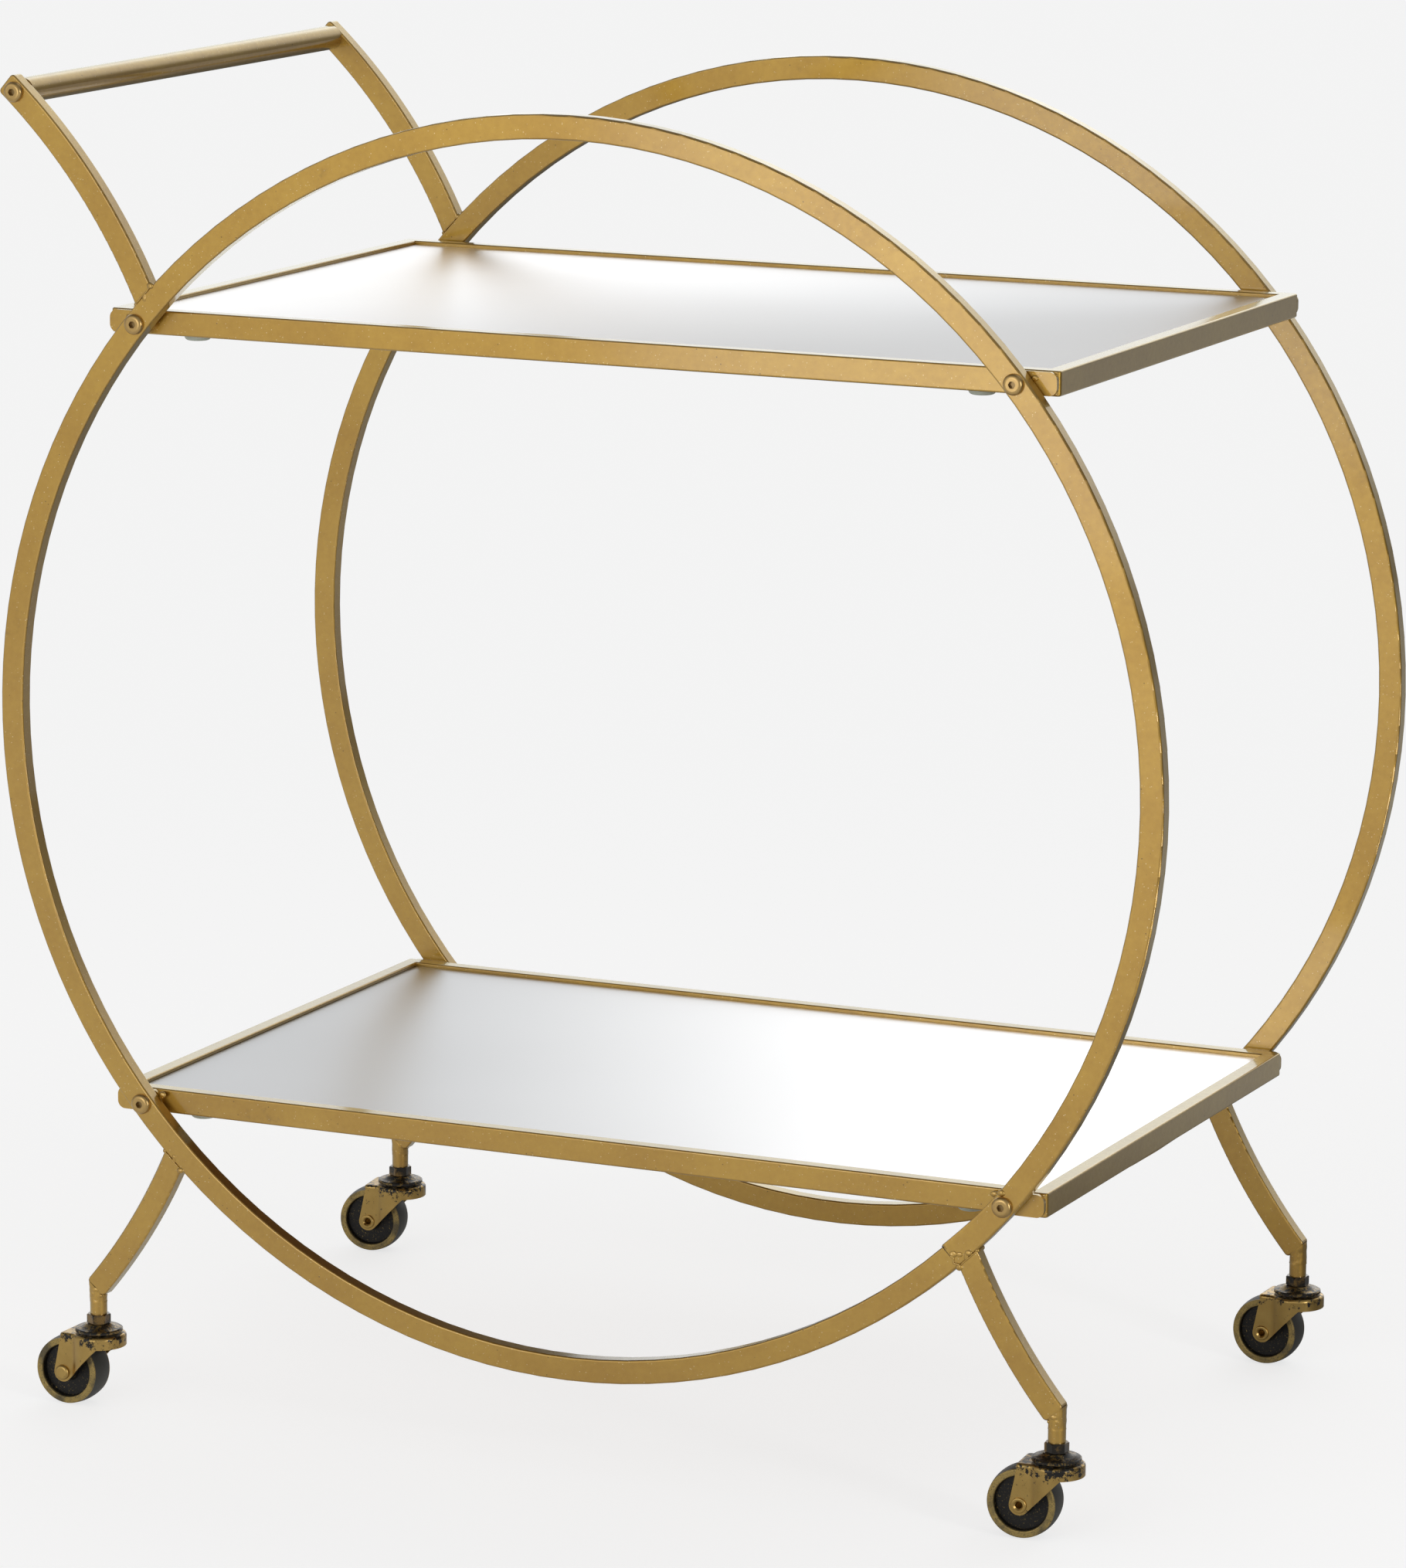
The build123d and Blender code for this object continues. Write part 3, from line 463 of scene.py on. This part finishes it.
def wheelFinish(name, finish, centre, axis, radius):
    # hard rubber tread on a moulded black centre, brushed over with brass colour on its rim:
    # the colour goes by the distance from the axle and from the middle of the tread
    material, tree, place = newMaterial(name)
    halfWidth = finish["halfWidth"] * mm
    about = Vector((-axis.y, axis.x, 0)).normalized()
    local = add(tree, "VectorMath", operation="SUBTRACT", in0=place, in1=centre)
    along = add(tree, "VectorMath", operation="DOT_PRODUCT", in0=local.outputs[0], in1=axis)
    across = add(tree, "VectorMath", operation="DOT_PRODUCT", in0=local.outputs[0], in1=about)
    upright = add(tree, "SeparateXYZ", Vector=local.outputs[0])
    side = add(tree, "Math", operation="ABSOLUTE", in0=along.outputs["Value"])
    spoke = add(tree, "CombineXYZ", X=across.outputs["Value"], Y=0.0, Z=upright.outputs["Z"])
    reach = add(tree, "VectorMath", operation="LENGTH", in0=spoke.outputs[0])
    lip = radius - (finish["rimRing"] + 1.0) * mm
    onRim = add(tree, "MapRange", Value=reach.outputs["Value"], From_Min=lip - 0.6 * mm,
                From_Max=lip + 0.2 * mm)
    onFace = add(tree, "MapRange", Value=side.outputs[0], From_Min=halfWidth - 1.5 * mm,
                 From_Max=halfWidth - 0.9 * mm)
    painted = add(tree, "Math", operation="MULTIPLY", in0=onRim.outputs[0], in1=onFace.outputs[0])
    patches = add(tree, "TexNoise", Vector=place, Scale=fine(finish["patchSize"]), Detail=3.0)
    patchy = add(tree, "MapRange", Value=patches.outputs[0], From_Min=0.36, From_Max=0.52, To_Min=0.25)
    specks = add(tree, "TexNoise", Vector=place, Scale=fine(finish["speckSize"]), Detail=4.0, Roughness=0.8)
    kept = add(tree, "MapRange", Value=specks.outputs[0], From_Min=0.36, From_Max=0.48)
    brassy = add(tree, "Math", operation="MULTIPLY", in0=painted.outputs[0], in1=kept.outputs[0])
    brassy = add(tree, "Math", operation="MULTIPLY", in0=brassy.outputs[0], in1=patchy.outputs[0])
    inRecess = add(tree, "MapRange", Value=reach.outputs["Value"], From_Min=lip + 0.3 * mm,
                   From_Max=lip - 0.3 * mm)
    dust = add(tree, "TexNoise", Vector=place, Scale=fine(finish["dustSize"]), Detail=6.0, Roughness=0.8)
    dusty = add(tree, "MapRange", Value=dust.outputs[0], From_Min=0.58, From_Max=0.66, To_Max=0.9)
    dusted = add(tree, "Math", operation="MULTIPLY", in0=dusty.outputs[0], in1=inRecess.outputs[0])
    ground = add(tree, "Mix", data_type="RGBA", in0=inRecess.outputs[0], in6=finish["tread"],
                 in7=finish["black"])
    metal = add(tree, "Math", operation="MAXIMUM", in0=brassy.outputs[0], in1=dusted.outputs[0])
    colour = add(tree, "Mix", data_type="RGBA", in0=metal.outputs[0], in6=ground.outputs[2],
                 in7=finish["brass"])
    rough = add(tree, "MapRange", Value=dust.outputs[0], To_Min=finish["roughness"] - 0.15,
                To_Max=finish["roughness"] + 0.1)
    grit = add(tree, "Bump", Height=specks.outputs[0], Strength=0.3, Distance=0.15 * mm)
    shiny = add(tree, "Math", operation="MULTIPLY", in0=metal.outputs[0], in1=0.8)
    close(tree, Base_Color=colour.outputs[2], Metallic=shiny.outputs[0], Roughness=rough.outputs[0],
          Normal=grit.outputs[0], Specular_IOR_Level=0.35)
    return material


gold = paintedGold("gold_metallic_paint", goldPaint)
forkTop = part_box("caster_fork_front_left")[1].z
finishes = {
    "side_ring": gold, "handle_arm": gold, "leg": gold, "handle_bar": gold,
    "top_shelf_rail": gold, "lower_shelf_rail": gold, "lugs": gold,
    "board": pressedBoard("pressed_hardboard", hardboard),
    "clamp_discs": clearPlastic("moulded_clear_plastic", clampDiscs),
    "caster_stem": blackenedSteel("blackened_steel", blackened),
    "bright": brightSteel("bright_steel", polished),
}
shoulders = {"fork": forkTop - 1.2 * mm, "cover": forkTop + 2.0 * mm}    # heights of the pressed edges
for corner in antiqueBrass["chips"]:
    sheet = agedBrass("antique_brass_sheet_" + corner, antiqueBrass, corner, shoulders["fork"])
    finishes["caster_fork_" + corner] = finishes["caster_axle_" + corner] = sheet
    dish = agedBrass("antique_brass_cover_" + corner, darkBrass, corner, shoulders["cover"])
    finishes["caster_cover_" + corner] = dish
finishes["balls"] = finishes["nuts"] = finishes["inserts"] = finishes["bright"]
for boltsName in ("top_shelf_bolts", "lower_shelf_bolts", "handle_bolts"):
    finishes[boltsName] = platedSteel("brass_plated_" + boltsName, platedBolt, *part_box(boltsName))
for mirrorName, brightSide in (("top_shelf_mirror", -1), ("lower_shelf_mirror", 1)):
    finishes[mirrorName] = silveredGlass("silvered_" + mirrorName, silvering, *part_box(mirrorName), brightSide)


def finishOf(nodeName):
    # the longest key that the node's name holds says its finish
    found = [key for key in finishes if key in nodeName]
    return finishes[max(found, key=len)]


for nodeName, node in nodes.items():
    if nodeName.startswith("caster_wheel"):
        low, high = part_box(nodeName)
        corner = nodeName.replace("caster_wheel_", "")
        axis = Vector(joints["roll_" + corner]["axis"])
        radius = (high.z - low.z) / 2
        chosen = wheelFinish(nodeName, casterWheel, (low + high) / 2, axis, radius)
    else:
        chosen = finishOf(nodeName)
    for materialSlot in node.material_slots:
        materialSlot.material = chosen
print("finishes given")


ringLow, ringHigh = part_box("side_ring_front")
ringCentre = (ringLow + ringHigh) / 2
ringRadius = (ringHigh.x - ringLow.x) / 2
tubeFace, tubeEdge = 15 * mm, 10 * mm    # the rings' tube, across its face and across its edge
faceDepth = -ringLow.y


def onRing(radius, angle, depth):
    # a point by its distance from the rings' axis, its angle up from +X, and its depth
    return Vector((ringCentre.x + radius * math.cos(angle), depth, ringCentre.z + radius * math.sin(angle)))


def givePiece(name, mesh, material):
    # links a finished bmesh as a smooth-shaded piece that stays with the frame of the cart
    bmesh.ops.remove_doubles(mesh, verts=mesh.verts, dist=0.01 * mm)
    bmesh.ops.recalc_face_normals(mesh, faces=mesh.faces)
    for face in mesh.faces:
        face.smooth = True
    piece = bpy.data.objects.new(name, bpy.data.meshes.new(name))
    mesh.to_mesh(piece.data)
    mesh.free()
    piece.data.materials.append(material)
    bpy.context.scene.collection.objects.link(piece)
    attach(piece, "root")


def roughen(mesh, amount, size):
    # pushes each vertex in or out by a noise whose waves are this many millimetres long
    mesh.normal_update()
    shifts = [vertex.normal * amount * mm * noise.noise(vertex.co * fine(size)) for vertex in mesh.verts]
    for vertex, shift in zip(mesh.verts, shifts):
        vertex.co += shift


def bead(name, points, radii, closed=True):
    # a run of weld along a path, as thick at each point as its radius in millimetres
    curve = bpy.data.curves.new(name, "CURVE")
    curve.dimensions = "3D"
    curve.bevel_depth = mm
    curve.bevel_resolution = 3
    curve.use_fill_caps = not closed
    spline = curve.splines.new("POLY")
    spline.points.add(len(points) - 1)
    spline.use_cyclic_u = closed
    for point, place, radius in zip(spline.points, points, radii):
        point.co = (*place, 1)
        point.radius = radius
    drawn = bpy.data.objects.new(name, curve)
    bpy.context.scene.collection.objects.link(drawn)
    mesh = bmesh.new()
    mesh.from_mesh(bpy.data.meshes.new_from_object(drawn))
    bpy.data.objects.remove(drawn)
    return mesh


def addLump(mesh, place, size):
    # a rounded drop of weld metal with these half sizes in millimetres
    made = bmesh.ops.create_icosphere(mesh, subdivisions=4, radius=mm)
    bmesh.ops.scale(mesh, verts=made["verts"], vec=size)
    bmesh.ops.translate(mesh, verts=made["verts"], vec=place)


limbWeld = {
    "face": 0.5, "crotch": 1.7, "roughness": 0.35, "wave": 3.0, "steps": 120,
    "squareness": 0.3, "wander": 0.5, "cornerStart": 0.88,
    "cornerDrop": (2.4, 1.6, 2.2), "faceDrop": (1.5, 0.7, 2.6),    # half sizes
}


def seamAngles(nodeName):
    # where a limb's coped end meets its ring
    node = nodes[nodeName]
    angles = []
    for vertex in node.data.vertices:
        place = node.matrix_world @ vertex.co - ringCentre
        if abs(math.hypot(place.x, place.z) - ringRadius) < 0.3 * mm:
            angles.append(math.atan2(place.z, place.x))
    return min(angles), max(angles)


def weldLimb(nodeName):
    # the weld right round a limb's foot: ground nearly flush on the two faces, left full in both corners
    low, high = seamAngles(nodeName)
    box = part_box(nodeName)
    middle, half = (low + high) / 2, (high - low) / 2
    depth, halfDepth = (box[0].y + box[1].y) / 2, (box[1].y - box[0].y) / 2
    points, radii = [], []
    for step in range(limbWeld["steps"]):
        turn = math.tau * step / limbWeld["steps"]
        along = math.copysign(abs(math.cos(turn)) ** limbWeld["squareness"], math.cos(turn))
        across = math.copysign(abs(math.sin(turn)) ** limbWeld["squareness"], math.sin(turn))
        wander = limbWeld["wander"] * mm * noise.noise(Vector((7 * along, 5 * across, depth * 9)))
        points.append(onRing(ringRadius + wander, middle + along * half, depth + across * halfDepth))
        full = max(0.0, abs(along) - limbWeld["cornerStart"]) / (1 - limbWeld["cornerStart"])
        radii.append(limbWeld["face"] + (limbWeld["crotch"] - limbWeld["face"]) * full)
    mesh = bead(nodeName, points, radii)
    outside = math.copysign(1, depth)
    inner = min((low, high), key=lambda angle: abs(abs(angle) - math.pi / 2))
    inCorner = onRing(ringRadius + 0.6 * mm, inner, depth + outside * (halfDepth - 0.6 * mm))
    onFace = onRing(ringRadius - 1.5 * mm, middle, depth + outside * (halfDepth - 0.2 * mm))
    addLump(mesh, inCorner, limbWeld["cornerDrop"])
    addLump(mesh, onFace, limbWeld["faceDrop"])
    roughen(mesh, limbWeld["roughness"], limbWeld["wave"])
    givePiece("weld_" + nodeName, mesh, gold)


limbs = [name for name in nodes if name.startswith(("handle_arm", "leg_front", "leg_back"))]
for limbName in limbs:
    weldLimb(limbName)
print("limb welds made,", len(limbs))


ringButt = {
    "run": 46, "step": 1.0, "lift": 0.22, "corner": 3.0, "below": 9.0, "cuts": 40, "edgeRound": 0.7,
    "slitLength": 8, "slitSteps": 12, "slitWidth": 0.32, "slitTaper": 0.018,
    "creaseStart": 7.5, "creaseLength": 8, "creaseSteps": 24, "creaseWidth": 0.75,
    "creaseSwing": 0.9, "creaseTurns": 9.4,
    "drops": [    # outwards and upwards from the slit's inner end, then half sizes
        (7.4, 2.2, (2.4, 0.8, 2.0)), (10.0, 5.5, (2.0, 0.7, 1.5)), (12.8, 10.5, (2.3, 0.9, 1.8)),
    ],
    "roughness": 0.28, "wave": 2.4,
}


def ringSeam(outside):
    # the ring's own butt joint, by a leg: the upper end stands a little proud inwards and fades out up the
    # ring, and the open slit across the inner half of the tube is drawn as a thin strip of painted shadow
    limbName = "leg_" + ("front" if outside < 0 else "back") + "_right"
    seam = seamAngles(limbName)[0]
    depth = outside * (faceDepth - tubeEdge / 2)
    inner = ringRadius - tubeFace
    mesh = bmesh.new()
    bmesh.ops.create_cube(mesh, size=1)
    ends = [edge for edge in mesh.edges if abs(edge.verts[0].co.x - edge.verts[1].co.x) > 0.5]
    bmesh.ops.subdivide_edges(mesh, edges=ends, cuts=ringButt["cuts"])
    for vertex in mesh.verts:
        up = vertex.co.x + 0.5
        fade = (1 - up) ** 2 * (1 + 2 * up)
        wide = tubeEdge / 2 + ringButt["lift"] * fade * mm
        reach = inner - (ringButt["step"] * fade + 0.02) * mm
        if vertex.co.z > 0:
            wide -= 0.6 * mm
            reach = inner + ringButt["below"] * mm
        across = depth + math.copysign(wide, vertex.co.y)
        vertex.co = onRing(reach, seam + up * ringButt["run"] * mm / inner, across)
    start = onRing(inner, seam, depth)
    corner = [edge for edge in mesh.edges
              if abs(edge.verts[0].co.y - edge.verts[1].co.y) > tubeEdge / 2
              and all((vertex.co - start).length < 6.5 * mm for vertex in edge.verts)
              and all(math.hypot(vertex.co.x - ringCentre.x, vertex.co.z - ringCentre.z) < inner
                      for vertex in edge.verts)][:1]
    bmesh.ops.bevel(mesh, geom=corner, offset=ringButt["corner"] * mm, affect="EDGES", segments=6,
                    profile=0.5, material=-1)
    mesh.normal_update()
    sharp = [edge for edge in mesh.edges if len(edge.link_faces) == 2 and edge.calc_face_angle() > 0.8]
    bmesh.ops.bevel(mesh, geom=sharp, offset=ringButt["edgeRound"] * mm, affect="EDGES", segments=3,
                    profile=0.5, material=-1)
    givePiece("ring_butt_" + limbName, mesh, gold)

    face = outside * faceDepth
    slit, slitRadii = [], []
    for step in range(ringButt["slitSteps"] + 1):
        reach = inner + (ringButt["slitLength"] * step / ringButt["slitSteps"] - 0.6) * mm
        slit.append(onRing(reach, seam - 0.0006, face))
        slitRadii.append(ringButt["slitWidth"] - ringButt["slitTaper"] * step)
    mesh = bead("slit", slit, slitRadii, closed=False)
    # the slit is a dark strip of painted shadow
    givePiece("ring_slit_" + limbName, mesh, slitPaintedShadow)
    crease = []
    for step in range(ringButt["creaseSteps"] + 1):
        share = step / ringButt["creaseSteps"]
        swing = ringButt["creaseSwing"] * mm * math.sin(share * ringButt["creaseTurns"])
        reach = inner + (ringButt["creaseStart"] + share * ringButt["creaseLength"]) * mm
        crease.append(onRing(reach, seam + swing / inner, face))
    mesh = bead("crease", crease, [ringButt["creaseWidth"]] * len(crease), closed=False)
    for outwards, upwards, size in ringButt["drops"]:
        addLump(mesh, onRing(inner + outwards * mm, seam + upwards * mm / inner, face), size)
    roughen(mesh, ringButt["roughness"], ringButt["wave"])
    givePiece("ring_weld_" + limbName, mesh, gold)


slitShadowTones = {"dark": "#2A2014", "dust": "#4A3A24", "dustSize": 1.0}


def makeSlitShadow(name, slit):
    # painted shadow: the dark of the open slit, where shade falls in the gap, with a lighter dusty fleck; dull
    material, tree, place = newMaterial(name)
    dust = add(tree, "TexNoise", Vector=place, Scale=fine(slit["dustSize"]), Detail=2.0)
    colour = add(tree, "Mix", data_type="RGBA", in0=dust.outputs[0], in6=slit["dark"], in7=slit["dust"])
    close(tree, Base_Color=colour.outputs[2], Roughness=0.8)
    return material


slitPaintedShadow = makeSlitShadow("unpainted_slit", slitShadowTones)
for outside in (-1, 1):
    ringSeam(outside)
print("ring joints made")


legFoot = {
    "reach": 324.3, "height": 76.7, "lean": math.radians(40.4),    # the middle of a leg's cut end
    "across": 12.4, "shift": 1.15, "proud": 0.25, "above": 1.0, "drop": 9.0, "round": 5.55,
    "squareness": 0.4, "sides": 48, "cuts": 14, "smoothings": 6, "roughness": 0.3, "wave": 3.2,
    "drops": [    # share of the way to the face, then inwards and down along the leg, then half sizes
        (1.0, 0.8, 0.8, (2.6, 0.9, 1.9)), (0.95, 1.4, 3.6, (1.8, 1.0, 2.2)),
        (0.8, 5.6, 0.9, (1.3, 1.0, 1.1)),
    ],
}


def weldSocket(nodeName):
    # the leg's cut end dressed down into its round socket: flush on the outside and on the two faces, short
    # of the overhanging inner corner, with a set drop of weld on the face and a small one under the corner
    low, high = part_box(nodeName)
    sideX = 1 if low.x + high.x > 0 else -1
    outside = 1 if low.y + high.y > 0 else -1
    depth = (low.y + high.y) / 2
    lean = legFoot["lean"]
    outer = Vector((sideX * math.cos(lean), 0, math.sin(lean)))
    end = Vector((sideX * legFoot["reach"] * mm, depth, legFoot["height"] * mm))
    along = Vector((sideX * math.sin(lean), 0, -math.cos(lean)))
    mesh = bmesh.new()
    upper = bmesh.ops.create_circle(mesh, segments=legFoot["sides"], radius=1)["verts"]
    lower = bmesh.ops.create_circle(mesh, segments=legFoot["sides"], radius=1)["verts"]
    start = end - along * legFoot["above"] * mm
    for vertex in upper:
        wide = math.copysign(abs(vertex.co.x) ** legFoot["squareness"], vertex.co.x) * sideX
        wide = wide * legFoot["across"] / 2 + legFoot["shift"]
        deep = math.copysign(abs(vertex.co.y) ** legFoot["squareness"], vertex.co.y)
        deep = deep * (tubeEdge / mm + legFoot["proud"]) / 2
        vertex.co = start + outer * wide * mm + Vector((0, deep * mm, 0))
    for vertex in lower:
        flat = vertex.co * legFoot["round"] * mm
        vertex.co = Vector((end.x + flat.x, end.y + flat.y, end.z - legFoot["drop"] * mm))
    bmesh.ops.bridge_loops(mesh, edges=mesh.edges)
    rungs = [edge for edge in mesh.edges if (edge.verts[0] in upper) != (edge.verts[1] in upper)]
    bmesh.ops.subdivide_edges(mesh, edges=rungs, cuts=legFoot["cuts"])
    for turn in range(legFoot["smoothings"]):
        inner = [vertex for vertex in mesh.verts if not vertex.is_boundary]
        bmesh.ops.smooth_vert(mesh, verts=inner, factor=0.5,
                              use_axis_x=True, use_axis_y=True, use_axis_z=True)
    face = Vector((0, outside * (tubeEdge / 2 - 0.3 * mm), 0))
    for share, inwards, down, size in legFoot["drops"]:
        addLump(mesh, end + face * share - outer * inwards * mm + along * down * mm, size)
    roughen(mesh, legFoot["roughness"], legFoot["wave"])
    givePiece("weld_" + nodeName, mesh, gold)


sockets = [name for name in nodes if name.startswith("leg_socket")]
for socketName in sockets:
    weldSocket(socketName)
print("socket welds made,", len(sockets))


paintDrops = {
    "places": [    # along the cart, out from its middle, up, and size
        (298, 203, 691.5, 2.3), (-298, 203, 691.5, 2.3), (280, 203, 204.5, 2.4), (-280, 203, 204.5, 2.6),
        (288.5, 213, 208.3, 2.5),
    ],
    "flatness": 0.45, "squatness": 0.8, "roughness": 0.25, "wave": 2.0,
}


def nubs(outside):
    # set drops of paint and spatter on the lugs, the rails and one by the lower right bolt
    mesh = bmesh.new()
    for across, depth, height, size in paintDrops["places"]:
        place = Vector((across * mm, outside * depth * mm, height * mm))
        addLump(mesh, place, (size, size * paintDrops["flatness"], size * paintDrops["squatness"]))
    roughen(mesh, paintDrops["roughness"], paintDrops["wave"])
    givePiece("paint_drops_" + ("front" if outside < 0 else "back"), mesh, gold)


for outside in (-1, 1):
    nubs(outside)
print("drops made")
